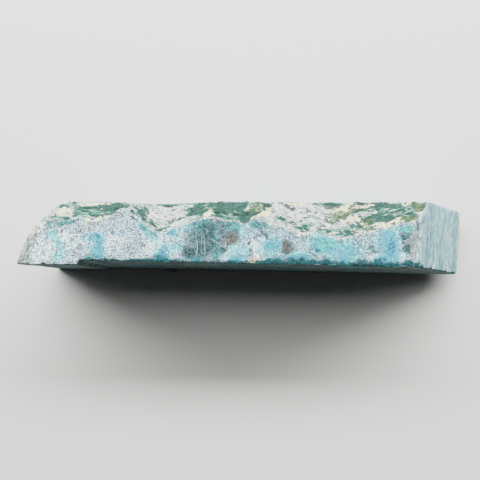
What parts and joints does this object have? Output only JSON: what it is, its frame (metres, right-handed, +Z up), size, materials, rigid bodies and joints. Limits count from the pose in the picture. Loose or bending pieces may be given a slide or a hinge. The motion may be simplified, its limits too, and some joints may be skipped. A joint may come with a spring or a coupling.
{
  "type": "chrysocolla specimen",
  "caption": "Rough-sawn chrysocolla slab with a natural back skin, broken left end and sloping sawn right end, standing on its long flat edge.",
  "frame": {"origin": "middle of the bounding box, on the surface that the slab stands on", "axes": "+X along the slab to its sloping sawn end, +Y from the sawn front to the back with the natural skin, +Z up"},
  "size_m": [0.1205, 0.0186, 0.04],
  "materials": {
    "stone": "rough sawn and natural chrysocolla in grey host rock"
  },
  "bodies": {
    "root": {"chrysocolla_slab": "stone"}
  },
  "joints": []
}
